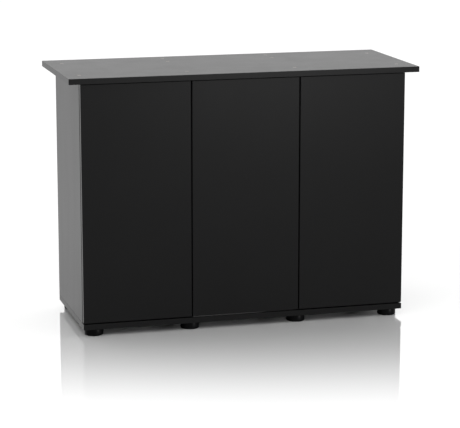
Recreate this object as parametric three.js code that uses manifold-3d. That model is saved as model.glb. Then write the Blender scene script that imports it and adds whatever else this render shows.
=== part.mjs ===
// Aquarium stand cabinet: overhanging top, three push-to-open doors, base plate on eight levelling feet.
// Millimetres, +Z up, +Y to the back, +X to the right seen from the front.
// Origin: middle of the footprint, on the floor.
import * as THREE from 'three';
import { mergeVertices } from 'three/addons/utils/BufferGeometryUtils.js';
import Module from 'manifold-3d';

const wasm = await Module();
wasm.setup();

// Overall size
const WIDTH = 1010;
const DEPTH = 410;
const HEIGHT = 730;

// Boards and the clearances between them
const BOARD = 16;
const CLEAR = 0.3;
const EDGE = 0.8;            // chamfer on exposed board edges

// How far the top stands out over the carcass
const TOP_SIDE_OVERHANG = 35;
const TOP_FRONT_OVERHANG = 19;
const TOP_REAR_OVERHANG = 24;

// Doors
const DOOR_SIDE_INSET = 0.5;
const DOOR_GAP = 3;
const DOOR_TOP_GAP = 3;
const DOOR_REAR_GAP = 3;
const DOOR_EDGE_RADIUS = 2;

// Levelling feet
const FOOT_HEIGHT = 20;
const FOOT_RADIUS = 26.5;
const FOOT_OUTER_X = 435;
const FOOT_FRONT_Y = -155;
const FOOT_REAR_Y = 150;
const SPINDLE_RADIUS = 4;

// Screws through the top
const SCREW_HEAD_RADIUS = 5;
const SCREW_SHANK_RADIUS = 3.2;
const SCREW_LENGTH = 50;
const SIDE_SCREW_Y = [-133, 124];
const DIVIDER_SCREW_Y = [-133, 95, 161];

// Concealed hinges: distances from the pivot, and the cup
const PIVOT_FROM_EDGE = 8;
const PIVOT_FROM_FRONT = 8;
const PIN_RADIUS = 1;
const EYE_RADIUS = 2.5;
const CUP_RADIUS = 17.5;
const CUP_WALL = 0.8;
const CUP_DEPTH = 12;
const CUP_FROM_EDGE = 21;
const FLANGE = 0.8;
const HINGE_FROM_DOOR_END = 90;
const ARM_HALF_HEIGHT = 6;
const ARM_LENGTH = 54;
const ARM_OUTER = 16;        // furthest reach of the arm from the pivot, across the door

// Push latches
const LATCH_Z = 560;
const LATCH_WIDTH = 14;
const LATCH_HEIGHT = 16;
const LATCH_LENGTH = 58;
const PLUNGER_RADIUS = 3.5;
const PLUNGER_LENGTH = 44;

// Shelf in the left bay
const SHELF_Z = 360;
const SHELF_SIDE_GAP = 1;
const SHELF_FRONT_SETBACK = 22;
const PEG_RADIUS = 2.5;
const PEG_DEPTH = 8;
const PEG_Y = [-112, 112];
const PEG_PITCH = 32;
const PEG_STEPS = [-2, -1, 0, 1, 2];

// Rear rails of the middle bay
const RAIL_HEIGHT = 100;

// Positions that follow from the sizes above
const BODY_X = WIDTH / 2 - TOP_SIDE_OVERHANG;
const FRONT_Y = -DEPTH / 2 + TOP_FRONT_OVERHANG;
const REAR_Y = DEPTH / 2 - TOP_REAR_OVERHANG;
const DOOR_BACK_Y = FRONT_Y + BOARD;
const CARCASS_Y = DOOR_BACK_Y + DOOR_REAR_GAP;
const FLOOR_Z = FOOT_HEIGHT + BOARD;
const CEILING_Z = HEIGHT - BOARD;
const DOOR_SPAN = 2 * (BODY_X - DOOR_SIDE_INSET);
const DOOR_WIDTH = (DOOR_SPAN - 2 * DOOR_GAP) / 3;
const DIVIDER_X = DOOR_WIDTH / 2 + DOOR_GAP / 2;
const DOOR_Z0 = FLOOR_Z + DOOR_GAP;
const DOOR_Z1 = CEILING_Z - DOOR_TOP_GAP;
const BAY_OUTER_X = BODY_X - BOARD;
const BAY_INNER_X = DIVIDER_X + BOARD / 2;

// ---------- finishes ----------
const FINISH = {
  black_melamine: [0x1f1f20, 0.38, 0.0],
  zinc_steel: [0xa6a7a8, 0.36, 0.9],
  nickel_steel: [0xb4b3ae, 0.3, 0.95],
  black_plastic: [0x161616, 0.42, 0.0],
  grey_plastic: [0x77787a, 0.5, 0.0],
};

// ---------- solids ----------
function solid(geometry) {
  const bare = geometry.clone();
  bare.deleteAttribute('normal');
  bare.deleteAttribute('uv');
  const welded = mergeVertices(bare, 1e-4);
  return new wasm.Manifold(new wasm.Mesh({
    numProp: 3,
    vertProperties: new Float32Array(welded.attributes.position.array),
    triVerts: new Uint32Array(welded.index.array),
  }));
}

function geometryOf(body) {
  const mesh = body.getMesh();
  const geometry = new THREE.BufferGeometry();
  geometry.setAttribute('position', new THREE.BufferAttribute(new Float32Array(mesh.vertProperties), 3));
  geometry.setIndex(new THREE.BufferAttribute(new Uint32Array(mesh.triVerts), 1));
  geometry.computeVertexNormals();
  return geometry;
}

function block(x0, x1, y0, y1, z0, z1) {
  const [a, b, c] = [Math.abs(x1 - x0), Math.abs(y1 - y0), Math.abs(z1 - z0)];
  const box = new THREE.BoxGeometry(a, b, c);
  box.translate((x0 + x1) / 2, (y0 + y1) / 2, (z0 + z1) / 2);
  return solid(box);
}

// A flat board with chamfered edges; thin is the axis of its thickness.
function board(x0, x1, y0, y1, z0, z1, thin, edge = EDGE) {
  const lo = { x: x0, y: y0, z: z0 };
  const hi = { x: x1, y: y1, z: z1 };
  const [u, v] = { x: ['y', 'z'], y: ['z', 'x'], z: ['x', 'y'] }[thin];
  const outline = new THREE.Shape();
  outline.moveTo(lo[u] + edge, lo[v] + edge);
  outline.lineTo(hi[u] - edge, lo[v] + edge);
  outline.lineTo(hi[u] - edge, hi[v] - edge);
  outline.lineTo(lo[u] + edge, hi[v] - edge);
  outline.closePath();
  const plate = new THREE.ExtrudeGeometry(outline, {
    depth: hi[thin] - lo[thin] - 2 * edge,
    bevelEnabled: true, bevelThickness: edge, bevelSize: edge, bevelSegments: 1,
  });
  plate.translate(0, 0, lo[thin] + edge);
  const unit = (axis) => new THREE.Vector3().setComponent('xyz'.indexOf(axis), 1);
  plate.applyMatrix4(new THREE.Matrix4().makeBasis(unit(u), unit(v), unit(thin)));
  return solid(plate);
}

// A turned body about the local Z axis from [radius, height] points running upward.
function turned(profile, segments) {
  const positions = [];
  const rings = profile.map(([radius, height]) => {
    const start = positions.length / 3;
    if (radius < 1e-6) {
      positions.push(0, 0, height);
      return [start];
    }
    const ring = [];
    for (let i = 0; i < segments; i += 1) {
      const angle = (2 * Math.PI * i) / segments;
      positions.push(radius * Math.cos(angle), radius * Math.sin(angle), height);
      ring.push(start + i);
    }
    return ring;
  });
  const faces = [];
  for (let r = 0; r < rings.length - 1; r += 1) {
    const [low, high] = [rings[r], rings[r + 1]];
    for (let i = 0; i < segments; i += 1) {
      const j = (i + 1) % segments;
      if (low.length > 1) faces.push(low[i], low[j], high[high.length > 1 ? j : 0]);
      if (high.length > 1) faces.push(low.length > 1 ? low[i] : low[0], high[j], high[i]);
    }
  }
  const geometry = new THREE.BufferGeometry();
  geometry.setAttribute('position', new THREE.Float32BufferAttribute(positions, 3));
  geometry.setIndex(faces);
  return geometry;
}

function rod(radius, z0, z1, segments) {
  return turned([[0, z0], [radius, z0], [radius, z1], [0, z1]], segments);
}

// Stands a turned body along an axis and moves it into place.
function placed(geometry, axis, x, y, z) {
  if (axis === '+y') geometry.rotateX(-Math.PI / 2);
  if (axis === '-y') geometry.rotateX(Math.PI / 2);
  if (axis === '+x') geometry.rotateY(Math.PI / 2);
  if (axis === '-x') geometry.rotateY(-Math.PI / 2);
  geometry.translate(x, y, z);
  return solid(geometry);
}

const group = new THREE.Group();
group.name = 'aquarium_stand_cabinet';

function add(name, body, finish) {
  const [color, roughness, metalness] = FINISH[finish];
  const material = new THREE.MeshStandardMaterial({ color, roughness, metalness });
  material.name = finish;
  const mesh = new THREE.Mesh(geometryOf(body), material);
  mesh.name = name;
  group.add(mesh);
}

const cut = (body, tools) => tools.reduce((left, tool) => left.subtract(tool), body);
const join = (first, ...others) => others.reduce((left, other) => left.add(other), first);

// ---------- fixings ----------
const screwSpots = [];
for (const y of DIVIDER_SCREW_Y) screwSpots.push([-DIVIDER_X, y], [DIVIDER_X, y]);
for (const y of SIDE_SCREW_Y) screwSpots.push([-(BODY_X - BOARD / 2), y], [BODY_X - BOARD / 2, y]);

const footXs = [-FOOT_OUTER_X, -DIVIDER_X, DIVIDER_X, FOOT_OUTER_X];
const footSpots = [];
footXs.forEach((x, i) => footSpots.push([`foot_front_${i + 1}`, x, FOOT_FRONT_Y]));
footXs.forEach((x, i) => footSpots.push([`foot_rear_${i + 1}`, x, FOOT_REAR_Y]));

const screwHole = ([x, y]) => placed(turned([
  [0, CEILING_Z - SCREW_LENGTH + 12], [SCREW_SHANK_RADIUS + CLEAR, CEILING_Z - SCREW_LENGTH + 12],
  [SCREW_SHANK_RADIUS + CLEAR, HEIGHT - 5], [SCREW_HEAD_RADIUS + CLEAR, HEIGHT - 2.6],
  [SCREW_HEAD_RADIUS + CLEAR, HEIGHT + 2], [0, HEIGHT + 2],
], 12), '+z', x, y, 0);

function screwBody([x, y]) {
  const top = HEIGHT - 0.2;
  const tip = HEIGHT - SCREW_LENGTH;
  const shank = placed(turned([
    [0, tip], [SCREW_SHANK_RADIUS * 0.55, tip], [SCREW_SHANK_RADIUS, tip + 5],
    [SCREW_SHANK_RADIUS, HEIGHT - 5.2], [SCREW_HEAD_RADIUS, HEIGHT - 2.8],
    [SCREW_HEAD_RADIUS, top], [0, top],
  ], 12), '+z', x, y, 0);
  return shank.subtract(placed(rod(2.3, top - 3, top + 1, 6), '+z', x, y, 0));
}

const nearX = (spot, x) => Math.abs(spot[0] - x) < 1;

// ---------- carcass ----------
add('top_panel', cut(
  board(-WIDTH / 2, WIDTH / 2, -DEPTH / 2, DEPTH / 2, CEILING_Z, HEIGHT, 'z'),
  screwSpots.map(screwHole),
), 'black_melamine');

add('base_panel', cut(
  board(-BODY_X, BODY_X, FRONT_Y, REAR_Y, FOOT_HEIGHT, FLOOR_Z, 'z'),
  footSpots.map(([, x, y]) => placed(
    rod(SPINDLE_RADIUS + 0.5, FOOT_HEIGHT - 2, FLOOR_Z + 2, 12), '+z', x, y, 0)),
), 'black_melamine');

const panelZ = [FLOOR_Z + CLEAR, CEILING_Z - CLEAR];
const pegZ = SHELF_Z - CLEAR - PEG_RADIUS;

// Rows of peg holes in the face at x that opens toward sign.
function pegHoles(x, sign) {
  const holes = [];
  for (const y of PEG_Y) {
    for (const step of PEG_STEPS) {
      const depth = PEG_DEPTH + CLEAR;
      const hole = rod(PEG_RADIUS + CLEAR, -2, depth, 8);
      holes.push(placed(hole, sign > 0 ? '-x' : '+x', x, y, pegZ + step * PEG_PITCH));
    }
  }
  return holes;
}

for (const [name, sign] of [['left_side_panel', -1], ['right_side_panel', 1]]) {
  const x = sign * (BODY_X - BOARD / 2);
  const holes = screwSpots.filter((spot) => nearX(spot, x)).map(screwHole);
  if (sign < 0) holes.push(...pegHoles(-BAY_OUTER_X, 1));
  add(name, cut(board(x - BOARD / 2, x + BOARD / 2, CARCASS_Y, REAR_Y, ...panelZ, 'x'), holes),
    'black_melamine');
}

for (const [name, sign] of [['left_divider', -1], ['right_divider', 1]]) {
  const x = sign * DIVIDER_X;
  const holes = screwSpots.filter((spot) => nearX(spot, x)).map(screwHole);
  if (sign < 0) holes.push(...pegHoles(-BAY_INNER_X, -1));
  add(name, cut(board(x - BOARD / 2, x + BOARD / 2, CARCASS_Y, REAR_Y, ...panelZ, 'x'), holes),
    'black_melamine');
}

add('left_back_panel', board(-BAY_OUTER_X + CLEAR, -BAY_INNER_X - CLEAR,
  REAR_Y - BOARD, REAR_Y, ...panelZ, 'y', 0.4), 'black_melamine');
add('right_back_panel', board(BAY_INNER_X + CLEAR, BAY_OUTER_X - CLEAR,
  REAR_Y - BOARD, REAR_Y, ...panelZ, 'y', 0.4), 'black_melamine');

const railX = DIVIDER_X - BOARD / 2 - CLEAR;
add('rear_top_rail', board(-railX, railX, REAR_Y - BOARD, REAR_Y,
  CEILING_Z - CLEAR - RAIL_HEIGHT, CEILING_Z - CLEAR, 'y', EDGE), 'black_melamine');
add('rear_bottom_rail', board(-railX, railX, REAR_Y - BOARD, REAR_Y,
  FLOOR_Z + CLEAR, FLOOR_Z + CLEAR + RAIL_HEIGHT, 'y', EDGE), 'black_melamine');

// ---------- shelf and its pegs ----------
add('left_shelf', board(-BAY_OUTER_X + SHELF_SIDE_GAP, -BAY_INNER_X - SHELF_SIDE_GAP,
  CARCASS_Y + SHELF_FRONT_SETBACK, REAR_Y - BOARD - 4, SHELF_Z, SHELF_Z + BOARD, 'z'), 'black_melamine');

function shelfPeg(x, y, outward) {
  // peg in the board, collar on its face, spoon under the shelf
  const axis = outward > 0 ? '+x' : '-x';
  const turnedPeg = placed(turned([
    [0, -PEG_DEPTH], [PEG_RADIUS, -PEG_DEPTH], [PEG_RADIUS, CLEAR], [4.2, CLEAR], [4.2, 0.9],
    [PEG_RADIUS, 0.9], [PEG_RADIUS, 7.6], [0, 7.6],
  ], 8), axis, x, y, pegZ);
  const far = x + outward * 7.6;
  const near = x + outward * 0.5;
  const spoon = block(Math.min(far, near), Math.max(far, near), y - 3.4, y + 3.4, pegZ + 1.3, pegZ + 2.5);
  const web = block(Math.min(far, near), Math.max(far, near), y - 0.8, y + 0.8, pegZ - 1, pegZ + 2);
  return join(turnedPeg, spoon, web);
}

let pegNumber = 0;
for (const y of PEG_Y) {
  for (const [x, outward] of [[-BAY_OUTER_X, 1], [-BAY_INNER_X, -1]]) {
    pegNumber += 1;
    add(`shelf_peg_${pegNumber}`, shelfPeg(x, y, outward), 'zinc_steel');
  }
}

// ---------- screws in the top and levelling feet ----------
screwSpots.forEach((spot, i) => add(`top_screw_${i + 1}`, screwBody(spot), 'zinc_steel'));

for (const [name, x, y] of footSpots) {
  const top = FOOT_HEIGHT - CLEAR;
  add(name, placed(turned([
    [0, 0], [FOOT_RADIUS - 2.5, 0], [FOOT_RADIUS - 0.7, 0.9], [FOOT_RADIUS, 3], [FOOT_RADIUS, top - 0.8],
    [FOOT_RADIUS - 0.8, top], [SPINDLE_RADIUS, top], [SPINDLE_RADIUS, FLOOR_Z - 1], [0, FLOOR_Z - 1],
  ], 24), '+z', x, y, 0), 'black_plastic');
}

// ---------- doors, hinges and latches ----------
// hinge: x of the pivot, and side +1 where the hinge edge is on the door's left, -1 where it is on its right
const doorX = (n) => (n - 1) * (DOOR_WIDTH + DOOR_GAP);
const doors = [
  { name: 'left', middle: doorX(0), side: 1, hingeFace: -BAY_OUTER_X, latchFace: -BAY_INNER_X },
  { name: 'middle', middle: doorX(1), side: 1, hingeFace: -(DIVIDER_X - BOARD / 2),
    latchFace: DIVIDER_X - BOARD / 2 },
  { name: 'right', middle: doorX(2), side: -1, hingeFace: BAY_OUTER_X, latchFace: BAY_INNER_X },
];
const hingeHeights = [['lower', DOOR_Z0 + HINGE_FROM_DOOR_END], ['upper', DOOR_Z1 - HINGE_FROM_DOOR_END]];
const PIVOT_Y = FRONT_Y + PIVOT_FROM_FRONT;
const FLANGE_Y0 = DOOR_BACK_Y + CLEAR;
const FLANGE_Y1 = FLANGE_Y0 + FLANGE;
const CUP_BOTTOM_Y = DOOR_BACK_Y - CUP_DEPTH;

function roundedPrism(x0, x1, y0, y1, radius, steps, z0, z1) {
  const outline = new THREE.Shape();
  const corners = [[x1 - radius, y0 + radius, -90], [x1 - radius, y1 - radius, 0],
    [x0 + radius, y1 - radius, 90], [x0 + radius, y0 + radius, 180]];
  corners.forEach(([cx, cy, from], c) => {
    for (let i = 0; i <= steps; i += 1) {
      const a = THREE.MathUtils.degToRad(from + (90 * i) / steps);
      const [px, py] = [cx + radius * Math.cos(a), cy + radius * Math.sin(a)];
      if (c === 0 && i === 0) outline.moveTo(px, py);
      else outline.lineTo(px, py);
    }
  });
  outline.closePath();
  const prism = new THREE.ExtrudeGeometry(outline, { depth: z1 - z0, bevelEnabled: false });
  prism.translate(0, 0, z0);
  return prism;
}

function doorPanel(door) {
  const [x0, x1] = [door.middle - DOOR_WIDTH / 2, door.middle + DOOR_WIDTH / 2];
  const panel = solid(roundedPrism(x0, x1, FRONT_Y, DOOR_BACK_Y, DOOR_EDGE_RADIUS, 3, DOOR_Z0, DOOR_Z1));
  const cupX = (door.side > 0 ? x0 : x1) + door.side * CUP_FROM_EDGE;
  return cut(panel, hingeHeights.map(([, z]) => placed(
    rod(CUP_RADIUS + CLEAR, -(CUP_DEPTH + CLEAR), 5, 20), '+y', cupX, DOOR_BACK_Y, z)));
}

// Cup with its flange and pivot pin; x runs from the pivot across the door, so both hands share it.
function hingeCup(door, pivotX, z) {
  const s = door.side;
  const cupX = pivotX + s * (CUP_FROM_EDGE - PIVOT_FROM_EDGE);
  const outer = placed(rod(CUP_RADIUS, CUP_BOTTOM_Y, FLANGE_Y1, 20), '+y', cupX, 0, z);
  const hollow = placed(rod(CUP_RADIUS - CUP_WALL, CUP_BOTTOM_Y + CUP_WALL, FLANGE_Y1 + 2, 20),
    '+y', cupX, 0, z);
  const rim = placed(rod(CUP_RADIUS + 1.4, FLANGE_Y0, FLANGE_Y1, 20), '+y', cupX, 0, z);
  const wingGeometry = roundedPrism(-7, 7, -30, 30, 4, 1, 0, FLANGE);
  wingGeometry.rotateX(Math.PI / 2);
  wingGeometry.translate(cupX + s * 9.5, FLANGE_Y1, z);
  const wing = solid(wingGeometry);
  const holes = [-1, 1].map((side) => placed(
    rod(2.2, FLANGE_Y0 - 1, FLANGE_Y1 + 1, 8), '+y', cupX + s * 9.5, 0, z + side * 24));
  const pin = placed(rod(PIN_RADIUS, -10.6, 10.6, 8), '+z', pivotX, PIVOT_Y, z);
  return join(cut(join(outer, rim, wing), [hollow, ...holes]), pin);
}

// One arm: eye on the pin, neck out of the cup, body back along the panel's face.
function hingeArm(door, pivotX, z, ridgeX) {
  const s = door.side;
  const h = ARM_HALF_HEIGHT;
  const slab = (xa, xb, ya, yb, half = h) => {
    const [p, q] = [pivotX + s * xa, pivotX + s * xb];
    return block(Math.min(p, q), Math.max(p, q), PIVOT_Y + ya, PIVOT_Y + yb, z - half, z + half);
  };
  const eye = placed(rod(EYE_RADIUS, -h, h, 12), '+z', pivotX, PIVOT_Y, z);
  const near = ridgeX + CLEAR;
  const thick = Math.min(ARM_OUTER - near, 5.7);
  const body = join(slab(near, near + thick, 11.5, 11.5 + ARM_LENGTH), slab(near, ARM_OUTER, 11.5, 15.5));
  const neck = join(slab(0, ARM_OUTER, -EYE_RADIUS, 0.5), slab(ARM_OUTER - 2.5, ARM_OUTER, -EYE_RADIUS, 12));
  const bore = placed(rod(PIN_RADIUS + 0.3, -h - 1, h + 1, 8), '+z', pivotX, PIVOT_Y, z);
  return join(eye, neck, body).subtract(bore);
}

// Mounting plate: winged foot on the panel and a ridge that the arm sits over.
function hingePlate(door, pivotX, z, faceX, ridgeX) {
  const s = door.side;
  const slab = (xa, xb, ya, yb, half) => {
    const [p, q] = [pivotX + s * xa, pivotX + s * xb];
    return block(Math.min(p, q), Math.max(p, q), PIVOT_Y + ya, PIVOT_Y + yb, z - half, z + half);
  };
  const foot = join(slab(faceX + CLEAR, faceX + CLEAR + 2, 30, 44, 25),
    slab(faceX + CLEAR, ridgeX, 14, 62, 7));
  return cut(foot, [-16, 16].map((dz) => placed(
    rod(2.6, -8, 8, 8), '+x', pivotX + s * (faceX + 1), PIVOT_Y + 37, z + dz)));
}

function latchHousing(door) {
  const s = door.side;
  const [xa, xb] = [door.latchFace - s * CLEAR, door.latchFace - s * (CLEAR + LATCH_WIDTH)];
  const [x0, x1] = [Math.min(xa, xb), Math.max(xa, xb)];
  const y0 = CARCASS_Y + 2;
  const h = LATCH_HEIGHT / 2;
  const shell = solid(roundedPrism(x0, x1, y0, y0 + LATCH_LENGTH, 1.5, 2, LATCH_Z - h, LATCH_Z + h));
  const ear = door.latchFace - s * (CLEAR + 2.4);
  const ears = block(Math.min(xa, ear), Math.max(xa, ear), y0 + 18, y0 + 34,
    LATCH_Z - h - 11, LATCH_Z + h + 11);
  const bore = placed(rod(PLUNGER_RADIUS + CLEAR, y0 - 1, y0 + PLUNGER_LENGTH + 4, 16), '+y',
    (xa + xb) / 2, 0, LATCH_Z);
  const holes = [-1, 1].map((side) => placed(
    rod(2, -8, 8, 8), '+x', door.latchFace, y0 + 26, LATCH_Z + side * (h + 6)));
  return cut(join(shell, ears), [bore, ...holes]);
}

function latchPlunger(door) {
  const x = door.latchFace - door.side * (CLEAR + LATCH_WIDTH / 2);
  const tip = DOOR_BACK_Y + CLEAR;
  return placed(turned([
    [0, tip], [PLUNGER_RADIUS - 0.6, tip], [PLUNGER_RADIUS, tip + 0.6],
    [PLUNGER_RADIUS, tip + PLUNGER_LENGTH], [0, tip + PLUNGER_LENGTH],
  ], 16), '+y', x, 0, LATCH_Z);
}

for (const door of doors) {
  const hingeEdge = door.middle - door.side * (DOOR_WIDTH / 2);
  const pivotX = hingeEdge + door.side * PIVOT_FROM_EDGE;
  const faceX = door.side * (door.hingeFace - pivotX);
  const ridgeX = faceX + 4;
  add(`${door.name}_door`, doorPanel(door), 'black_melamine');
  for (const [level, z] of hingeHeights) {
    add(`${door.name}_${level}_hinge_cup`, hingeCup(door, pivotX, z), 'nickel_steel');
    add(`${door.name}_${level}_hinge_arm`, hingeArm(door, pivotX, z, ridgeX), 'nickel_steel');
    add(`${door.name}_${level}_hinge_plate`, hingePlate(door, pivotX, z, faceX, ridgeX), 'nickel_steel');
  }
  add(`${door.name}_latch_housing`, latchHousing(door), 'grey_plastic');
  add(`${door.name}_latch_plunger`, latchPlunger(door), 'black_plastic');
}

export default group;
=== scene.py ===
"""Looks of the aquarium stand cabinet: boards, doors, hinges, latches, feet, studio floor and light."""

import math

import bmesh
import bpy
from mathutils import Matrix, Vector


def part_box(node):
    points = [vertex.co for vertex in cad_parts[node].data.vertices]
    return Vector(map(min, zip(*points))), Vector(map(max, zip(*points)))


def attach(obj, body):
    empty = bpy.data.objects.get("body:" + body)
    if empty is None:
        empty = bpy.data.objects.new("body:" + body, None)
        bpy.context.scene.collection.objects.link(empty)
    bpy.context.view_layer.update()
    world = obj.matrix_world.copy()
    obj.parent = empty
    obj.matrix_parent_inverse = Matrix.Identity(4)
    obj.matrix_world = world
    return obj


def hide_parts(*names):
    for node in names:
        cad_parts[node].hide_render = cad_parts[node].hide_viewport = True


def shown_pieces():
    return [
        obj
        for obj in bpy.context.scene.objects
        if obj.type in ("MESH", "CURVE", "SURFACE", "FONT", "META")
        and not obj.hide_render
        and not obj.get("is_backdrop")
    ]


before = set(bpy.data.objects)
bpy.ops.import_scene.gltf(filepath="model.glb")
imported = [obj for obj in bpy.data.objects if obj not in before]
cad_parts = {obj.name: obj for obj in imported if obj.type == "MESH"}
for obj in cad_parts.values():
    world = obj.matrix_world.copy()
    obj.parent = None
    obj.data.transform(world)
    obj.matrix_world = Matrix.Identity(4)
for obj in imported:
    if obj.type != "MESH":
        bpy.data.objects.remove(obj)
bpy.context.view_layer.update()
MM = 0.001
scene = bpy.context.scene

# ------------------------------------------------------------------ nodes
DOORS = (("left", 1), ("middle", 1), ("right", -1))      # side is 1 where the door hinges on its left edge
LEVELS = ("lower", "upper")
SCREWS = [f"top_screw_{i}" for i in range(1, 11)]
FEET = [f"foot_{row}_{i}" for row in ("front", "rear") for i in (1, 2, 3, 4)]

# ------------------------------------------------------------------ sizes that the boxes don't give, mm
CLEAR = 0.3                                              # between pieces that fit in each other
BOARD_ROUND = 0.6                                        # radius of a banded board edge
DOOR_ROUND, DOOR_REAR_ROUND = 1.5, 0.5
BAND, BAND_FLAT = 1.3, 0.15                              # edge band: thickness, least flat strip of it
SEAM_WIDTH, SEAM_DEPTH = 0.14, 0.12                      # groove between band and face, each flank
SCREW_BORE_R, SCREW_RECESS_R = 3.5, 5.25
SCREW_HEAD_R, HEX_ACROSS, HEX_DEPTH = 5.0, 4.0, 2.6
PEG_PITCH, PEG_DEPTH, PEG_HOLE_R = 32.0, 8.0, 2.8
SPINDLE_R, SPINDLE_GAP = 4.0, 0.5
THREAD_PITCH, THREAD_DEPTH, THREAD_FROM, THREAD_TO, SPINDLE_TOP = 1.25, 0.55, 20.2, 34.0, 35.0
HINGE_PIN_R, HINGE_EYE_R = 1.0, 2.5
PIVOT_FROM_EDGE, CUP_FROM_EDGE = 8.0, 21.0
CUP_R, CUP_WALL, CUP_DEPTH, CUP_FLANGE = 17.5, 0.8, 12.0, 1.1
ARM_HALF, ARM_THICK, ARM_START = 6.0, 5.7, 11.5          # half height, thickness, start behind the pin
SLOT_FROM_END, ADJUSTER_FROM_END = 13.0, 36.0            # the arm's two screws, from its far end
WING_SCREW_X, WING_SCREW_Z = 9.5, 24.0                   # screws of the cup's wings, from its axis
PLATE_THICK, PLATE_SCREW_Y, PLATE_SCREW_Z = 2.0, 37.0, 16.0      # mounting plate, its screws from the pin
PLUNGER_R = 3.5
LATCH_HALF, LATCH_ROUND, LATCH_BORE = 8.0, 2.2, 48.0     # half height, corner radius, depth of the bore
EAR_THICK, EAR_FROM, EAR_TO = 2.4, 18.0, 34.0            # the latch's ears, along its housing
EAR_SCREW_Y, EAR_SCREW_Z = 26.0, 14.0
STRIKE_R, STRIKE_SUNK = 7.0, 0.9                         # strike disc: radius, depth let into the door

# ------------------------------------------------------------------ looks
BODY_MIRROR = 0.14       # specular level of the melamine on the boards
DOOR_MIRROR = 0.117      # and on the doors and edge bands, a little deeper black in the photograph
FADE = 0.92              # how far from the object the floor still mirrors, m
MIRROR_SHARE = 0.61      # how much of the light the floor mirrors right beside the object
FADE_TURN = math.radians(15.4)   # in front, the fade runs level in the photograph, so it is turned by this
FADE_START = 0.259       # and counted from this far in front of the middle, m
FADE_LEAD = 0.1          # the fade sets in this much nearer than where its distance counts from, m
FLOOR_R = 45.0           # m
WORLD_STRENGTH = 1.14
SHARP = 38.0             # faces that meet at a larger angle keep a sharp edge, degrees


# ------------------------------------------------------------------ materials
def linear(value):
    value /= 255.0
    return value / 12.92 if value <= 0.04045 else ((value + 0.055) / 1.055) ** 2.4


def rgb(r, g, b):
    return (linear(r), linear(g), linear(b), 1.0)


class Nodes:
    """A material with a Principled shader and a few helpers to wire its inputs."""

    def __init__(self, name):
        self.material = bpy.data.materials.new(name)
        self.material.use_nodes = True
        self.tree = self.material.node_tree
        self.shader = self.tree.nodes["Principled BSDF"]
        self.coords = self.tree.nodes.new("ShaderNodeTexCoord").outputs["Object"]

    def add(self, kind, **settings):
        node = self.tree.nodes.new(kind)
        for key, value in settings.items():
            setattr(node, key, value)
        return node

    def link(self, a, b):
        self.tree.links.new(a, b)

    def stretched(self, scale, turn=(0, 0, 0)):
        mapping = self.add("ShaderNodeMapping")
        mapping.inputs["Scale"].default_value = scale
        mapping.inputs["Rotation"].default_value = turn
        self.link(self.coords, mapping.inputs["Vector"])
        return mapping.outputs["Vector"]

    def noise(self, scale, detail=3.0, roughness=0.5, vector=None, distortion=0.0):
        node = self.add("ShaderNodeTexNoise")
        node.inputs["Scale"].default_value = scale
        node.inputs["Detail"].default_value = detail
        node.inputs["Roughness"].default_value = roughness
        node.inputs["Distortion"].default_value = distortion
        self.link(vector if vector is not None else self.coords, node.inputs["Vector"])
        return node.outputs["Fac"]

    def ramp(self, fac, stops):
        node = self.add("ShaderNodeValToRGB")
        band = node.color_ramp
        while len(band.elements) < len(stops):
            band.elements.new(0.5)
        for element, (at, colour) in zip(band.elements, stops):
            element.position = at
            element.color = colour
        self.link(fac, node.inputs["Fac"])
        return node.outputs["Color"]

    def fit(self, fac, low, high, from_low=0.0, from_high=1.0):
        node = self.add("ShaderNodeMapRange")
        node.inputs["From Min"].default_value = from_low
        node.inputs["From Max"].default_value = from_high
        node.inputs["To Min"].default_value = low
        node.inputs["To Max"].default_value = high
        self.link(fac, node.inputs["Value"])
        return node.outputs["Result"]

    def mix(self, fac, a, b):
        node = self.add("ShaderNodeMix", data_type="RGBA")
        self.link(fac, node.inputs["Factor"])
        node.inputs["A"].default_value = a
        node.inputs["B"].default_value = b
        return node.outputs["Result"]

    def sum(self, a, b, weight=1.0):
        """a plus weight times b."""
        node = self.add("ShaderNodeMath", operation="MULTIPLY_ADD")
        self.link(b, node.inputs[0])
        node.inputs[1].default_value = weight
        self.link(a, node.inputs[2])
        return node.outputs["Value"]

    def math(self, operation, a, b=0.0):
        """a and b taken together; b is a number or a socket."""
        node = self.add("ShaderNodeMath", operation=operation)
        self.link(a, node.inputs[0])
        if isinstance(b, float):
            node.inputs[1].default_value = b
        else:
            self.link(b, node.inputs[1])
        return node.outputs["Value"]

    def bump(self, height, distance, strength=1.0):
        node = self.add("ShaderNodeBump")
        node.inputs["Distance"].default_value = distance
        node.inputs["Strength"].default_value = strength
        self.link(height, node.inputs["Height"])
        self.link(node.outputs["Normal"], self.shader.inputs["Normal"])

    def set(self, **values):
        for key, value in values.items():
            self.shader.inputs[key.replace("_", " ")].default_value = value


def melamine_face(name, dark, light, mirror):
    """Black melamine: fine pearl texture, faint cloudiness and a few wiping marks in the gloss."""
    m = Nodes(name)
    cloud = m.noise(6.0, 4.0)
    fine = m.noise(2600.0, 2.0)
    wipes = m.noise(14.0, 3.0, vector=m.stretched((1.0, 1.0, 0.22), (0.0, 0.35, 0.0)), distortion=0.6)
    m.link(m.ramp(cloud, ((0.3, dark), (0.72, light))), m.shader.inputs["Base Color"])
    gloss = m.sum(m.fit(wipes, 0.305, 0.325, 0.3, 0.7), m.fit(cloud, -0.006, 0.006))
    m.link(gloss, m.shader.inputs["Roughness"])
    m.bump(fine, 0.00003, 0.55)
    m.set(Specular_IOR_Level=mirror)
    return m.material


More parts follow.
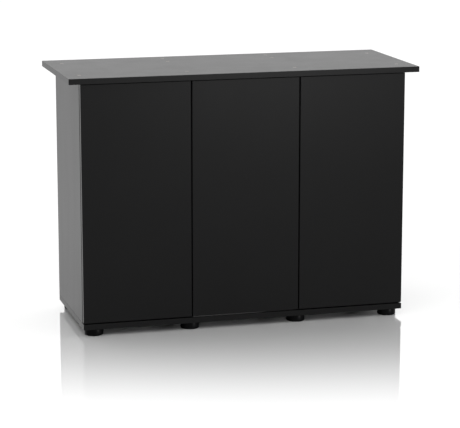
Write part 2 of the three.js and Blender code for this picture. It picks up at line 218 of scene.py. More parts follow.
def melamine_edge():
    """Edge band: a black close to the faces, with faint lengthwise drawing lines."""
    m = Nodes("black_edge_band")
    cloud = m.noise(9.0, 3.0)
    lines = m.noise(900.0, 2.0, vector=m.stretched((0.06, 0.06, 1.0)))
    m.link(m.ramp(cloud, ((0.3, rgb(8, 8, 8.4)), (0.7, rgb(10, 10, 10.4)))), m.shader.inputs["Base Color"])
    m.link(m.fit(lines, 0.28, 0.34), m.shader.inputs["Roughness"])
    m.bump(lines, 0.00003, 0.4)
    m.set(Specular_IOR_Level=DOOR_MIRROR)
    return m.material


def chipboard():
    """Raw chipboard, seen in bores and cup holes."""
    m = Nodes("raw_chipboard")
    chips = m.add("ShaderNodeTexVoronoi", feature="F1")
    chips.inputs["Scale"].default_value = 520.0
    m.link(m.stretched((1.0, 1.0, 2.4)), chips.inputs["Vector"])
    grains = m.noise(1500.0, 3.0)
    tone = m.ramp(m.sum(chips.outputs["Distance"], grains, 0.6),
                  ((0.15, rgb(96, 74, 52)), (0.5, rgb(140, 112, 80)), (0.9, rgb(176, 148, 110))))
    m.link(tone, m.shader.inputs["Base Color"])
    m.link(m.fit(grains, 0.75, 0.95), m.shader.inputs["Roughness"])
    m.bump(chips.outputs["Distance"], 0.0002, 0.6)
    return m.material


def steel(name, dark, light, rough, brush=(1.0, 1.0, 0.05)):
    """Plated steel: tone varies a little, with fine lines one way and small stains in the gloss."""
    m = Nodes(name)
    cloud = m.noise(120.0, 3.0)
    lines = m.noise(1400.0, 2.0, vector=m.stretched(brush))
    m.link(m.mix(cloud, dark, light), m.shader.inputs["Base Color"])
    m.link(m.sum(m.fit(lines, rough - 0.06, rough + 0.08), m.fit(cloud, -0.04, 0.05)),
           m.shader.inputs["Roughness"])
    m.bump(lines, 0.00002, 0.25)
    m.set(Metallic=1.0)
    return m.material


def plastic(name, dark, light, rough, mirror=0.4):
    """Moulded plastic: very fine spark-eroded grain and slight tone drift."""
    m = Nodes(name)
    cloud = m.noise(35.0, 3.0)
    fine = m.noise(1800.0, 2.0)
    m.link(m.mix(cloud, dark, light), m.shader.inputs["Base Color"])
    m.link(m.sum(m.fit(fine, rough - 0.05, rough + 0.05), m.fit(cloud, -0.03, 0.03)),
           m.shader.inputs["Roughness"])
    m.bump(fine, 0.00004, 0.5)
    m.set(Specular_IOR_Level=mirror)
    return m.material


# Doors and carcass boards are one black melamine in two copies. The door copy's colour is made darker as
# painted shade, and the board copy's colour lighter as painted light, so the sides and the inside read
# brighter.
DOOR_FACE_PAINTED_SHADE = melamine_face("black_melamine_door_painted_shade", rgb(4.5, 4.5, 4.8), rgb(6, 6, 6.3), DOOR_MIRROR)
BODY_FACE_PAINTED_LIGHT = melamine_face("black_melamine_body_painted_light", rgb(21, 21, 21.5), rgb(24, 24, 24.6), BODY_MIRROR)
EDGE = melamine_edge()
CORE = chipboard()
ZINC = steel("zinc_plate", rgb(150, 151, 153), rgb(178, 179, 180), 0.34)
NICKEL = steel("nickel_plate", rgb(166, 163, 157), rgb(186, 184, 179), 0.35, (0.06, 1.0, 1.0))
DARK_STEEL = steel("oiled_steel", rgb(70, 70, 72), rgb(96, 96, 98), 0.4)
FOOT_BLACK = plastic("foot_plastic", rgb(2.5, 2.5, 2.8), rgb(4, 4, 4.3), 0.36, mirror=0.03)
LATCH_GREY = plastic("latch_grey_plastic", rgb(98, 99, 101), rgb(112, 113, 115), 0.48)
LATCH_BLACK = plastic("latch_black_plastic", rgb(18, 18, 19), rgb(27, 27, 28), 0.42)


# ------------------------------------------------------------------ mesh builders
# An outline's x and y become y and z, its height x
ACROSS = Matrix(((0, 0, 1, 0), (1, 0, 0, 0), (0, 1, 0, 0), (0, 0, 0, 1)))
TURN_BACK = Matrix.Rotation(-math.pi / 2, 4, "X")        # local z points to the rear


def mid(node):
    lo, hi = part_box(node)
    return (lo + hi) / 2


def frame_at(centre, axis=(0, 0, 1)):
    """Local Z along axis, origin at centre."""
    turn = Vector(axis).to_track_quat("Z", "Y").to_matrix().to_4x4()
    return Matrix.Translation(Vector(centre)) @ turn


def lathe(bm, profile, segments, place, material=0):
    """Adds a turned body: profile is (radius, height) in mm, from the first pole to the last; place sets
    where it stands."""
    rings = []
    for radius, height in profile:
        if radius < 1e-6:
            rings.append([bm.verts.new(place @ Vector((0, 0, height * MM)))])
            continue
        ring = []
        for i in range(segments):
            a = 2 * math.pi * i / segments
            at = Vector((radius * math.cos(a), radius * math.sin(a), height)) * MM
            ring.append(bm.verts.new(place @ at))
        rings.append(ring)
    for low, high in zip(rings, rings[1:]):
        for i in range(segments):
            j = (i + 1) % segments
            if len(low) == 1 and len(high) == 1:
                break
            if len(low) == 1:
                corners = (low[0], high[j], high[i])
            elif len(high) == 1:
                corners = (low[i], low[j], high[0])
            else:
                corners = (low[i], low[j], high[j], high[i])
            bm.faces.new(corners).material_index = material


def prism(bm, outline, z0, z1, place, rounding=0.0, segments=2):
    """Adds an extruded outline of (x, y) mm between z0 and z1, its rim edges rounded."""
    fresh = bmesh.new()
    low = [fresh.verts.new(Vector((x, y, z0)) * MM) for x, y in outline]
    high = [fresh.verts.new(Vector((x, y, z1)) * MM) for x, y in outline]
    bottom = fresh.faces.new(list(reversed(low)))
    top = fresh.faces.new(high)
    n = len(outline)
    for i in range(n):
        j = (i + 1) % n
        fresh.faces.new((low[i], low[j], high[j], high[i]))
    bmesh.ops.recalc_face_normals(fresh, faces=fresh.faces)
    if rounding > 0:
        rims = list({e for f in (bottom, top) for e in f.edges})
        bmesh.ops.bevel(fresh, geom=rims, offset=rounding * MM, segments=segments, profile=0.5,
                        affect="EDGES", clamp_overlap=True)
    fresh.transform(place)
    merge(bm, fresh)


def merge(bm, other):
    """Moves all of other's faces into bm."""
    mesh = bpy.data.meshes.new("scratch")
    other.to_mesh(mesh)
    other.free()
    bm.from_mesh(mesh)
    bpy.data.meshes.remove(mesh)


def rounded_rectangle(x0, x1, y0, y1, radius, steps=4):
    """Outline with rounded corners, counter-clockwise."""
    points = []
    for cx, cy, start in ((x1 - radius, y0 + radius, -90), (x1 - radius, y1 - radius, 0),
                          (x0 + radius, y1 - radius, 90), (x0 + radius, y0 + radius, 180)):
        for i in range(steps + 1):
            a = math.radians(start + 90 * i / steps)
            points.append((cx + radius * math.cos(a), cy + radius * math.sin(a)))
    return points


def make_object(bm, name, materials, sharp=SHARP):
    """Turns bm into an object in the scene, shaded smooth but for its sharp edges."""
    bmesh.ops.remove_doubles(bm, verts=bm.verts, dist=1e-7)
    bmesh.ops.recalc_face_normals(bm, faces=bm.faces)
    mesh = bpy.data.meshes.new(name)
    bm.to_mesh(mesh)
    bm.free()
    for material in materials:
        mesh.materials.append(material)
    obj = bpy.data.objects.new(name, mesh)
    scene.collection.objects.link(obj)
    shade(obj, sharp)
    return obj


def shade(obj, sharp=SHARP):
    mesh = obj.data
    mesh.polygons.foreach_set("use_smooth", [True] * len(mesh.polygons))
    mesh.set_sharp_from_angle(angle=math.radians(sharp))


def weigh_normals(obj):
    keep = obj.modifiers.new("flat faces stay flat", "WEIGHTED_NORMAL")
    keep.keep_sharp = True
    keep.weight = 100


def carve(obj, cutter_bm):
    """Subtracts the cutter from obj; cut faces take the cutter's material indices."""
    cutter = make_object(cutter_bm, obj.name + "_cutter", list(obj.data.materials))
    modifier = obj.modifiers.new("carve", "BOOLEAN")
    modifier.operation = "DIFFERENCE"
    modifier.solver = "EXACT"
    modifier.object = cutter
    graph = bpy.context.evaluated_depsgraph_get()
    carved = bpy.data.meshes.new_from_object(obj.evaluated_get(graph))
    obj.modifiers.remove(modifier)
    old = obj.data
    obj.data = carved
    carved.name = obj.name
    bpy.data.meshes.remove(old)
    cutter_mesh = cutter.data
    bpy.data.objects.remove(cutter)
    bpy.data.meshes.remove(cutter_mesh)
    shade(obj)


def board(name, node, thin, holes=(), rounding=BOARD_ROUND, body="carcass", face_look=BODY_FACE_PAINTED_LIGHT,
          rear_rounding=None):
    """A banded board in its node's box: rounded edges, a fine seam between band and face, bored holes.
    thin is the axis of its thickness; a door's rear edges have their own rounding."""
    lo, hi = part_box(node)
    size, middle = hi - lo, (hi + lo) / 2
    bm = bmesh.new()
    bmesh.ops.create_cube(bm, size=1.0)
    bm.transform(Matrix.Translation(middle) @ Matrix.Diagonal((*size, 1.0)))
    axis = "xyz".index(thin)
    if rear_rounding is None:
        bmesh.ops.bevel(bm, geom=bm.edges[:], offset=rounding * MM, segments=4, profile=0.5, affect="EDGES")
    else:
        front = [e for e in bm.edges if any(v.co[axis] < middle[axis] for v in e.verts)]
        bmesh.ops.bevel(bm, geom=front, offset=rounding * MM, segments=4, profile=0.5, affect="EDGES")
        rear = [e for e in bm.edges if all(v.co[axis] > hi[axis] - 0.01 * MM for v in e.verts)]
        bmesh.ops.bevel(bm, geom=rear, offset=rear_rounding * MM, segments=3, profile=0.5, affect="EDGES")
    for face in bm.faces:
        face.material_index = 1
    largest = max(f.calc_area() for f in bm.faces)
    wide = [f for f in bm.faces if abs(f.normal[axis]) > 0.999 and f.calc_area() > 0.9 * largest]
    for face in wide:
        bmesh.ops.inset_individual(bm, faces=[face], thickness=max(BAND - rounding, BAND_FLAT) * MM)
        for depth in (-SEAM_DEPTH, SEAM_DEPTH):
            bmesh.ops.inset_individual(bm, faces=[face], thickness=SEAM_WIDTH * MM, depth=depth * MM)
        face.material_index = 0
    obj = make_object(bm, name, [face_look, EDGE, CORE])
    if holes:
        cutter = bmesh.new()
        for profile, place, segments in holes:
            lathe(cutter, profile, segments, place, material=2)
        carve(obj, cutter)
    weigh_normals(obj)
    own(obj, body, "black_melamine", node)
    return obj


def own(obj, body, slot, *nodes):
    """The piece moves with body and stands for these nodes. The slot is not used."""
    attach(obj, body)
    if nodes:
        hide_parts(*nodes)


def plug(radius, z0, z1):
    """Profile of a plain cylinder."""
    return [(0, z0), (radius, z0), (radius, z1), (0, z1)]


def stamp(bm, mesh, place):
    """Adds a copy of mesh at place."""
    part = bmesh.new()
    part.from_mesh(mesh)
    part.transform(place)
    merge(bm, part)


def cross_screw(name, radius, sunk):
    """A cross-recess screw head, its rim at height 0: sunk ones are flat, the others pan shaped. In mm."""
    bm = bmesh.new()
    if sunk:
        profile = [(0, -radius * 0.75), (radius * 0.5, -radius * 0.7), (radius, -0.15), (radius, 0.05),
                   (radius * 0.92, 0.16), (radius * 0.5, 0.24), (0, 0.26)]
        top = 0.26
    else:
        profile = [(0, -0.6), (radius * 0.96, -0.6), (radius, -0.1), (radius * 0.94, radius * 0.22),
                   (radius * 0.72, radius * 0.42), (radius * 0.38, radius * 0.53), (0, radius * 0.56)]
        top = radius * 0.56
    lathe(bm, profile, 32, Matrix.Identity(4))
    obj = make_object(bm, name, [])
    cutter = bmesh.new()
    arm, half = radius * 0.58, radius * 0.115
    outline = [(half, half), (half, arm), (-half, arm), (-half, half), (-arm, half), (-arm, -half),
               (-half, -half), (-half, -arm), (half, -arm), (half, -half), (arm, -half), (arm, half)]
    prism(cutter, outline, top - radius * 0.42, top + 1.0, Matrix.Identity(4))
    carve(obj, cutter)
    return take_mesh(obj)


def hex_screw(name, radius, across, depth):
    """A sunk head with a hexagon socket, rim at height 0, in mm. The socket is turned a little off the
    edges of the head, which leaves no slivers where it cuts them."""
    bm = bmesh.new()
    lathe(bm, [(0, -6.5), (3.1, -6.5), (3.1, -2.6), (radius, -0.7), (radius, -0.12), (radius - 0.12, 0.0),
               (0, 0.0)], 40, Matrix.Identity(4))
    obj = make_object(bm, name, [])
    cutter = bmesh.new()
    corner = across / math.sqrt(3)
    lathe(cutter, [(0, -depth - 0.8), (across * 0.52, -depth), (corner, -depth), (corner, 1.0), (0, 1.0)], 6,
          Matrix.Rotation(math.radians(2.0), 4, "Z"))
    carve(obj, cutter)
    return take_mesh(obj)


def take_mesh(obj):
    """Keeps the mesh and drops the object."""
    mesh = obj.data
    bpy.data.objects.remove(obj)
    return mesh


def place_copy(name, mesh, where):
    obj = bpy.data.objects.new(name, mesh)
    scene.collection.objects.link(obj)
    obj.matrix_world = where
    return obj


# ------------------------------------------------------------------ carcass boards
def screw_hole(node):
    """Head recess and shank bore from the top face down, for one top screw."""
    at = mid(node)
    at.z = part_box("top_panel")[1].z
    return ([(0, -40), (SCREW_BORE_R, -40), (SCREW_BORE_R, -4.2), (SCREW_RECESS_R, -2.4),
             (SCREW_RECESS_R, 2), (0, 2)], frame_at(at), 32)


def spindle_hole(node):
    """Bore through the base board over one foot."""
    at = mid(node)
    at.z = 0.0
    return (plug(SPINDLE_R + SPINDLE_GAP, 15, 40), frame_at(at), 32)


def peg_holes(x, out):
    """Rows of shelf peg holes in the face at x, which looks toward out."""
    rows = [mid(f"shelf_peg_{index}") for index in (1, 3)]
    hole = plug(PEG_HOLE_R, -PEG_DEPTH - CLEAR, 2)
    return [(hole, frame_at((x, row.y, row.z + step * PEG_PITCH * MM), (out, 0, 0)), 32)
            for row in rows for step in (-2, -1, 0, 1, 2)]


board("top_board", "top_panel", "z", [screw_hole(node) for node in SCREWS])
board("base_board", "base_panel", "z", [spindle_hole(node) for node in FEET])
bored = {"left_side_panel": peg_holes(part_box("left_side_panel")[1].x, 1),
         "left_divider": peg_holes(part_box("left_divider")[0].x, -1)}
for side in ("left", "right"):
    board(f"{side}_side_board", f"{side}_side_panel", "x", bored.get(f"{side}_side_panel", ()), rounding=0.3)
    board(f"{side}_divider_board", f"{side}_divider", "x", bored.get(f"{side}_divider", ()))
    board(f"{side}_back_board", f"{side}_back_panel", "y", rounding=0.5)
board("rear_top_rail_board", "rear_top_rail", "y", rounding=0.8)
board("rear_bottom_rail_board", "rear_bottom_rail", "y", rounding=0.8)
board("left_shelf_board", "left_shelf", "z")

# ------------------------------------------------------------------ screws in the top
hex_mesh = hex_screw("hex_screw", SCREW_HEAD_R, HEX_ACROSS, HEX_DEPTH)
hex_mesh.materials.append(ZINC)
for index, node in enumerate(SCREWS, 1):
    at = mid(node)
    at.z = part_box(node)[1].z
    screw = place_copy(f"top_screw_head_{index}", hex_mesh, frame_at(at))
    own(screw, "carcass", "zinc_steel", node)

# ------------------------------------------------------------------ levelling feet
foot_bm = bmesh.new()
lathe(foot_bm, [(0, 1.2), (8, 1.2), (8.6, 0.6), (9.4, 0.0), (22.6, 0.0), (24.2, 0.25), (25.4, 0.9),
                (26.2, 1.9), (26.5, 3.2), (26.5, 16.9), (26.2, 18.3), (25.5, 19.2), (24.6, 19.6),
                (23.4, 19.7), (9.2, 19.7), (0, 19.7)], 96, Matrix.Identity(4))
turns = [(0, 19.3), (SPINDLE_R, 19.3)]
height = THREAD_FROM
while height < THREAD_TO:
    turns += [(SPINDLE_R, height), (SPINDLE_R - THREAD_DEPTH, height + THREAD_PITCH / 2)]
    height += THREAD_PITCH
turns += [(SPINDLE_R - 0.5, SPINDLE_TOP - 0.2), (SPINDLE_R - 1.0, SPINDLE_TOP), (0, SPINDLE_TOP)]
lathe(foot_bm, turns, 32, Matrix.Identity(4), material=1)
foot_mesh = take_mesh(make_object(foot_bm, "foot_shape", [FOOT_BLACK, ZINC], sharp=50.0))
for node in FEET:
    at = mid(node)
    at.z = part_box(node)[0].z
    foot = place_copy(node + "_levelling", foot_mesh, frame_at(at))
    own(foot, node, "black_plastic", node)

# ------------------------------------------------------------------ shelf pegs
for index in (1, 2, 3, 4):
    node = f"shelf_peg_{index}"
    lo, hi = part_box(node)
    out = 1 if mid(node).x < mid("left_shelf").x else -1
    root_x = lo.x if out > 0 else hi.x
    centre = Vector((root_x + out * PEG_DEPTH * MM, mid(node).y, mid(node).z))
    peg = bmesh.new()
    lathe(peg, [(0, -8), (1.9, -8), (2.45, -7.4), (2.5, -6.8), (2.5, 0.3), (3.9, 0.3), (4.2, 0.45),
                (4.2, 0.75), (3.9, 0.9), (2.5, 0.9), (2.5, 6.9), (2.2, 7.4), (1.7, 7.6), (0, 7.6)],
          40, frame_at(centre, (out, 0, 0)))
    spoon = rounded_rectangle(-3.4, 3.4, 0.95, 7.6, 1.4)
    flat = Matrix.Translation(centre) @ Matrix.Rotation(-math.pi / 2 * out, 4, "Z")
    prism(peg, spoon, 1.35, 2.45, flat, rounding=0.2)
    peg_obj = make_object(peg, f"shelf_peg_turned_{index}", [ZINC])
    own(peg_obj, "carcass", "zinc_steel", node)

# ------------------------------------------------------------------ doors
sunk_screw = cross_screw("sunk_screw", 3.6, True)
pan_screw = cross_screw("pan_screw", 3.3, False)


def hinge_edge(door, side):
    """x of the door's hinge-side edge, in metres."""
    lo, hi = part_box(f"{door}_door")
    return lo.x if side > 0 else hi.x


def cup_centre(door, side, level):
    """Where a hinge cup's axis meets the door's back face."""
    return Vector((hinge_edge(door, side) + side * CUP_FROM_EDGE * MM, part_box(f"{door}_door")[1].y,
                   mid(f"{door}_{level}_hinge_cup").z))


for door, side in DOORS:
    hole = plug(CUP_R + CLEAR, -CUP_DEPTH - CLEAR, 4)
    cups = [(hole, frame_at(cup_centre(door, side, level), (0, 1, 0)), 64) for level in LEVELS]
    board(f"{door}_door_board", f"{door}_door", "y", cups, rounding=DOOR_ROUND, body=f"{door}_door",
          face_look=DOOR_FACE_PAINTED_SHADE, rear_rounding=DOOR_REAR_ROUND)

# ------------------------------------------------------------------ hinges
HAND = {1: Matrix.Identity(4), -1: Matrix.Diagonal((-1.0, 1.0, 1.0, 1.0))}       # shapes are drawn for side 1


def arc(cx, cy, radius, start, end, steps):
    """Points on a circle from one angle to another, degrees."""
    return [(cx + radius * math.cos(math.radians(start + (end - start) * i / steps)),
             cy + radius * math.sin(math.radians(start + (end - start) * i / steps)))
            for i in range(steps + 1)]


def cup_shape(side):
    """Cup, flange and pin around the cup's axis on the door's back face: x across the door, y up off the
    door, z along its height; mm. The pin is where the door turns."""
    bm = bmesh.new()
    inner = CUP_R - CUP_WALL
    lathe(bm, [(0, -CUP_DEPTH), (15.6, -CUP_DEPTH), (17.0, -11.6), (CUP_R, -10.6), (CUP_R, CLEAR),
               (18.7, CLEAR), (18.9, 0.5), (18.9, 0.9), (18.7, CUP_FLANGE), (17.4, CUP_FLANGE),
               (16.9, 0.95), (inner, 0.5), (inner, -9.6), (16.2, -10.7), (15.2, -11.2), (0, -11.2)],
          72, TURN_BACK)
    wing = rounded_rectangle(2.5, 16.5, -30, 30, 5.0, 6)
    body = make_object(bm, "cup_scratch", [])
    plate = bmesh.new()
    prism(plate, wing, CLEAR, CUP_FLANGE,
          Matrix.Rotation(math.pi / 2, 4, "X") @ Matrix.Diagonal((1, 1, -1, 1)), rounding=0.2)
    hollow = bmesh.new()
    lathe(hollow, plug(CUP_R + 0.2, -1, 3), 72, TURN_BACK)
    for end in (-WING_SCREW_Z, WING_SCREW_Z):
        lathe(hollow, [(0, -1), (2.2, -1), (2.2, 0.4), (3.4, 1.2), (3.4, 3), (0, 3)], 32,
              Matrix.Translation(Vector((WING_SCREW_X, 0, end)) * MM) @ TURN_BACK)
    plate_obj = make_object(plate, "wing_scratch", [])
    carve(plate_obj, hollow)
    both = bmesh.new()
    both.from_mesh(take_mesh(body))
    both.from_mesh(take_mesh(plate_obj))
    pin_at = Matrix.Translation(Vector((PIVOT_FROM_EDGE - CUP_FROM_EDGE, -8.0, 0)) * MM)
    lathe(both, plug(HINGE_PIN_R, -10.5, 10.5), 24, pin_at)
    both.transform(HAND[side])
    return both


def arm_shape(side, near, far, length):
    """Hinge arm seen along the pin: eye, neck out of the cup, body back along the board; mm from the pin."""
    thick = min(far - near, ARM_THICK)
    face, end = near + thick, ARM_START + length
    eye = arc(0, 0, HINGE_EYE_R, 12, 270, 20)
    heel = arc(far - 1.6, -HINGE_EYE_R + 1.6, 1.6, -90, 0, 5)
    inner = arc(far - 2.5 - 1.2, 0.5 + 1.2, 1.2, 0, -90, 4)
    if face > far - 0.1:
        outer = [(far, end - 2.0)] + arc(far - 2.0, end - 2.0, 2.0, 0, 90, 4)[1:]
    else:
        outer = (arc(far - 1.5, 14.0, 1.5, 0, 90, 4) + arc(face + 2.5, 18.0, 2.5, 270, 180, 5)
                 + arc(face - 2.0, end - 2.0, 2.0, 0, 90, 4))
    back = arc(near + 1.0, end - 1.0, 1.0, 90, 180, 3)
    front = arc(near + 1.5, ARM_START + 1.5, 1.5, 180, 270, 4)
    outline = eye + heel + outer + back + front + [(far - 2.5, ARM_START)] + inner
    bm = bmesh.new()
    prism(bm, outline, -ARM_HALF, ARM_HALF, Matrix.Identity(4), rounding=0.45)
    obj = make_object(bm, "arm_scratch", [])

    def on_arm(depth, from_end):
        """On the arm's broad face, sunk by depth."""
        return frame_at(((face - depth) * MM, (end - from_end) * MM, 0), (1, 0, 0))

    cutter = bmesh.new()
    lathe(cutter, plug(HINGE_PIN_R + CLEAR, -8, 8), 24, Matrix.Identity(4))
    prism(cutter, rounded_rectangle(-2.6, 2.6, -6.5, 6.5, 2.5, 6), -1.6, 3, on_arm(0, SLOT_FROM_END))
    lathe(cutter, plug(3.1, -1.2, 3), 32, on_arm(0, ADJUSTER_FROM_END))
    carve(obj, cutter)
    both = bmesh.new()
    both.from_mesh(take_mesh(obj))
    stamp(both, sunk_screw, on_arm(1.1, SLOT_FROM_END) @ Matrix.Diagonal((0.66, 0.66, 1, 1)))
    stamp(both, sunk_screw, on_arm(0.9, ADJUSTER_FROM_END) @ Matrix.Diagonal((0.8, 0.8, 1, 1)))
    both.transform(HAND[side])
    return both


def plate_shape(side, face, ridge):
    """Mounting plate: winged foot against the board and a ridge under the arm; mm from the pin."""
    bm = bmesh.new()
    low = face + CLEAR
    prism(bm, rounded_rectangle(30, 44, -25, 25, 6.0, 6), low, low + PLATE_THICK, ACROSS, rounding=0.3)
    obj = make_object(bm, "plate_scratch", [])
    cutter = bmesh.new()
    for end in (-PLATE_SCREW_Z, PLATE_SCREW_Z):
        lathe(cutter, [(0, -6), (2.4, -6), (2.4, 0.2), (3.8, 2.05), (3.8, 6), (0, 6)], 32,
              frame_at((low * MM, PLATE_SCREW_Y * MM, end * MM), (1, 0, 0)))
    carve(obj, cutter)
    both = bmesh.new()
    both.from_mesh(take_mesh(obj))
    prism(both, rounded_rectangle(14, 62, -7, 7, 1.5, 3), low, ridge, ACROSS, rounding=0.4)
    both.transform(HAND[side])
    return both


for door, side in DOORS:
    door_screws, plate_screws = bmesh.new(), bmesh.new()
    for level in LEVELS:
        arm_node, plate_node = f"{door}_{level}_hinge_arm", f"{door}_{level}_hinge_plate"
        cup_node = f"{door}_{level}_hinge_cup"
        arm_lo, arm_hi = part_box(arm_node)
        plate_lo, plate_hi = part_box(plate_node)
        pin_x = hinge_edge(door, side) + side * PIVOT_FROM_EDGE * MM
        pin = Vector((pin_x, arm_lo.y + HINGE_EYE_R * MM, mid(arm_node).z))
        place = Matrix.Translation(pin)
        near, ridge = sorted(side * (x - pin.x) / MM for x in (plate_lo.x, plate_hi.x))
        face = near - CLEAR
        far = max(side * (x - pin.x) / MM for x in (arm_lo.x, arm_hi.x))
        length = (arm_hi.y - pin.y) / MM - ARM_START
        shape = arm_shape(side, ridge + CLEAR, far, length)
        shape.transform(place)
        arm = make_object(shape, arm_node + "_pressed", [NICKEL])
        weigh_normals(arm)
        own(arm, "carcass", "nickel_steel", arm_node)
        shape = plate_shape(side, face, ridge)
        shape.transform(place)
        plate = make_object(shape, plate_node + "_pressed", [NICKEL])
        weigh_normals(plate)
        own(plate, "carcass", "nickel_steel", plate_node)
        cup_at = Matrix.Translation(cup_centre(door, side, level))
        shape = cup_shape(side)
        shape.transform(cup_at)
        cup = make_object(shape, cup_node + "_drawn", [NICKEL])
        weigh_normals(cup)
        own(cup, f"{door}_door", "nickel_steel", cup_node)
        for end in (-WING_SCREW_Z, WING_SCREW_Z):
            at = cup_at @ Vector((side * WING_SCREW_X * MM, CUP_FLANGE * MM, end * MM))
            stamp(door_screws, sunk_screw, frame_at(at, (0, 1, 0)) @ Matrix.Diagonal((0.9, 0.9, 0.9, 1)))
        for end in (-PLATE_SCREW_Z, PLATE_SCREW_Z):
            at = place @ Vector((side * (face + CLEAR + PLATE_THICK) * MM, PLATE_SCREW_Y * MM, end * MM))
            stamp(plate_screws, sunk_screw, frame_at(at, (side, 0, 0)))
    screws = make_object(door_screws, f"{door}_cup_screws", [ZINC])
    own(screws, f"{door}_door", "zinc_steel")
    screws = make_object(plate_screws, f"{door}_plate_screws", [ZINC])
    own(screws, "carcass", "zinc_steel")

# ------------------------------------------------------------------ push latches
for door, side in DOORS:
    housing, plunger = f"{door}_latch_housing", f"{door}_latch_plunger"
    lo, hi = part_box(housing)
    pin_lo, pin_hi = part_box(plunger)
    centre = mid(plunger)
    width = (hi.x - lo.x) / MM
    board_side = hi.x if side > 0 else lo.x
    bm = bmesh.new()
    local = Matrix.Translation((centre.x, lo.y, centre.z)) @ TURN_BACK
    prism(bm, rounded_rectangle(-width / 2, width / 2, -LATCH_HALF, LATCH_HALF, LATCH_ROUND, 5), 0,
          (hi.y - lo.y) / MM, local, rounding=0.8, segments=3)
    obj = make_object(bm, "latch_scratch", [])
    cutter = bmesh.new()
    bore = PLUNGER_R + CLEAR
    lathe(cutter, [(0, -1), (PLUNGER_R + 1.0, -1), (bore, 0.7), (bore, LATCH_BORE), (0, LATCH_BORE)], 48,
          local)
    carve(obj, cutter)
    both = bmesh.new()
    both.from_mesh(take_mesh(obj))
    ear = bmesh.new()
    reach = (hi.z - lo.z) / MM / 2
    prism(ear, rounded_rectangle(EAR_FROM, EAR_TO, -reach, reach, 4.0, 6), *sorted((0.0, -EAR_THICK * side)),
          ACROSS, rounding=0.3)
    ear.transform(Matrix.Translation((board_side, lo.y, centre.z)))
    merge(both, ear)
    shell = make_object(both, f"{door}_latch_body", [LATCH_GREY])
    weigh_normals(shell)
    own(shell, "carcass", "grey_plastic", housing)
    screws = bmesh.new()
    for end in (-EAR_SCREW_Z, EAR_SCREW_Z):
        at = Vector((board_side - side * EAR_THICK * MM, lo.y + EAR_SCREW_Y * MM, centre.z + end * MM))
        stamp(screws, pan_screw, frame_at(at, (-side, 0, 0)) @ Matrix.Translation((0, 0, 0.6 * MM)))
    own(make_object(screws, f"{door}_latch_screws", [ZINC]), "carcass", "zinc_steel")
    bm = bmesh.new()
    tip = frame_at((centre.x, pin_lo.y, centre.z), (0, 1, 0))
    long = (pin_hi.y - pin_lo.y) / MM
    lathe(bm, [(0, 0.35), (2.3, 0.35), (2.3, 0), (3.0, 0), (3.4, 0.35), (PLUNGER_R, 0.9), (PLUNGER_R, 4.6),
               (3.3, 4.9), (3.3, 6.0), (PLUNGER_R, 6.3), (PLUNGER_R, long - 0.5), (3.0, long), (0, long)],
          48, tip)
    rod = make_object(bm, f"{door}_latch_pin", [LATCH_BLACK])
    own(rod, f"{door}_plunger", "black_plastic", plunger)
    bm = bmesh.new()
    door_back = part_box(f"{door}_door")[1].y
    strike = frame_at((centre.x, door_back - STRIKE_SUNK * MM, centre.z), (0, 1, 0))
    lathe(bm, [(0, 0), (STRIKE_R, 0), (STRIKE_R, 0.75), (STRIKE_R - 0.2, 0.95), (2.2, 1.0), (1.7, 0.55),
               (0, 0.5)], 56, strike)
    disc = make_object(bm, f"{door}_strike_disc", [DARK_STEEL])
    own(disc, f"{door}_door", "zinc_steel")


# ------------------------------------------------------------------ studio
def lamp(name, at, towards, size, power, lights=None, lit_name=""):
    """An area lamp of size (width, height) in metres. With lights given it falls on those pieces alone, so
    the white floor stays even."""
    light = bpy.data.lights.new(name, "AREA")
    light.shape = "RECTANGLE"
    light.size, light.size_y = size
    light.energy = power
    obj = bpy.data.objects.new(name, light)
    scene.collection.objects.link(obj)
    obj.location = at
    obj.rotation_euler = (Vector(towards) - Vector(at)).to_track_quat("-Z", "Y").to_euler()
    obj.visible_camera = False
    if lights is not None:
        lit = bpy.data.collections.new(lit_name)
        for piece in lights:
            lit.objects.link(piece)
        obj.light_linking.receiver_collection = lit


def studio_floor():
    """White lacquered floor: a mirror image close to the object that fades out over FADE metres, and in
    front along lines that lie level in the photograph."""
    m = Nodes("studio_floor")
    cloud = m.noise(0.8, 2.0)
    m.link(m.ramp(cloud, ((0.3, (0.93, 0.93, 0.93, 1.0)), (0.7, (0.95, 0.95, 0.95, 1.0)))),
           m.shader.inputs["Base Color"])
    m.link(m.fit(m.noise(3.0, 2.0), 0.02, 0.03), m.shader.inputs["Roughness"])
    split = m.add("ShaderNodeSeparateXYZ")
    m.link(m.coords, split.inputs["Vector"])
    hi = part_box("base_panel")[1]
    beside = m.math("SUBTRACT", m.math("ABSOLUTE", split.outputs["X"]), hi.x)
    behind = m.math("SUBTRACT", split.outputs["Y"], hi.y)
    ahead = m.add("ShaderNodeVectorMath", operation="DOT_PRODUCT")
    m.link(m.coords, ahead.inputs[0])
    ahead.inputs[1].default_value = (-math.sin(FADE_TURN), -math.cos(FADE_TURN), 0.0)
    in_front = m.math("SUBTRACT", ahead.outputs["Value"], FADE_START)
    away = m.math("MAXIMUM", m.math("MAXIMUM", beside, behind), in_front)
    fade = m.add("ShaderNodeMapRange", interpolation_type="SMOOTHSTEP")
    for key, value in (("From Min", -FADE_LEAD), ("From Max", FADE),
                       ("To Min", MIRROR_SHARE), ("To Max", 0.0)):
        fade.inputs[key].default_value = value
    m.link(away, fade.inputs["Value"])
    m.link(fade.outputs["Result"], m.shader.inputs["Metallic"])
    m.set(Specular_IOR_Level=0.0)
    return m.material


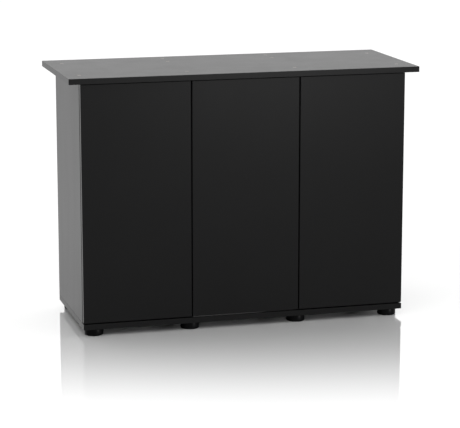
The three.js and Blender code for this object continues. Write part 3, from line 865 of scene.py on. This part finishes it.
floor_bm = bmesh.new()
bmesh.ops.create_circle(floor_bm, cap_ends=True, segments=64, radius=FLOOR_R)
floor = make_object(floor_bm, "studio_floor", [studio_floor()])
floor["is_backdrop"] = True

world = bpy.data.worlds.new("studio")
world.use_nodes = True
world.node_tree.nodes["Background"].inputs["Color"].default_value = (1.0, 1.0, 1.0, 1.0)
world.node_tree.nodes["Background"].inputs["Strength"].default_value = WORLD_STRENGTH
scene.world = world

pieces = list(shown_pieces())
feet = [p for p in pieces if p.name.startswith("foot")]
above = [p for p in pieces if p.name != "base_board" and p not in feet]
OUTSIDE = ("door_board", "top_board", "base_board", "foot", "top_screw")
inner = [p for p in pieces if not any(word in p.name for word in OUTSIDE)]
lamp("key", (-1.6, -2.6, 3.2), (0.0, -0.2, 0.3), (2.6, 2.6), 30.0)
lamp("front_glow", (1.3, -4.3, 0.6), (0.0, -0.19, 0.55), (1.1, 0.7), 21.0, above, "lit_in_front")
lamp("foot_glow", (2.0, -3.0, 0.13), (0.0, -0.15, 0.01), (0.5, 0.24), 110.0, feet, "lit_feet")
lamp("inside_glow", (0.6, -3.4, 1.5), (0.0, 0.0, 0.4), (2.6, 2.6), 130.0, inner, "lit_inside")
lamp("rear_glow", (1.4, 4.3, 0.36), (0.0, 0.2, 0.36), (3.2, 0.6), 30.0, pieces, "lit_behind")
lamp("right_glow", (4.0, 0.9, 0.36), (0.5, 0.0, 0.36), (2.4, 0.6), 26.0, pieces, "lit_at_right")

# ------------------------------------------------------------------ camera
CAMERA_AT = (-1.496, -5.446, 1.461)          # m
CAMERA_DOWN, CAMERA_ROUND = 11.72, -15.40    # pitch and heading, degrees
CAMERA_LENS = 155.02                         # mm

camera_data = bpy.data.cameras.new("camera")
camera = bpy.data.objects.new("camera", camera_data)
scene.collection.objects.link(camera)
camera_data.lens = CAMERA_LENS
camera_data.clip_end = 200.0
camera.location = CAMERA_AT
camera.rotation_euler = (math.radians(90.0 - CAMERA_DOWN), 0.0, math.radians(CAMERA_ROUND))
scene.camera = camera
scene.view_settings.view_transform = "Standard"
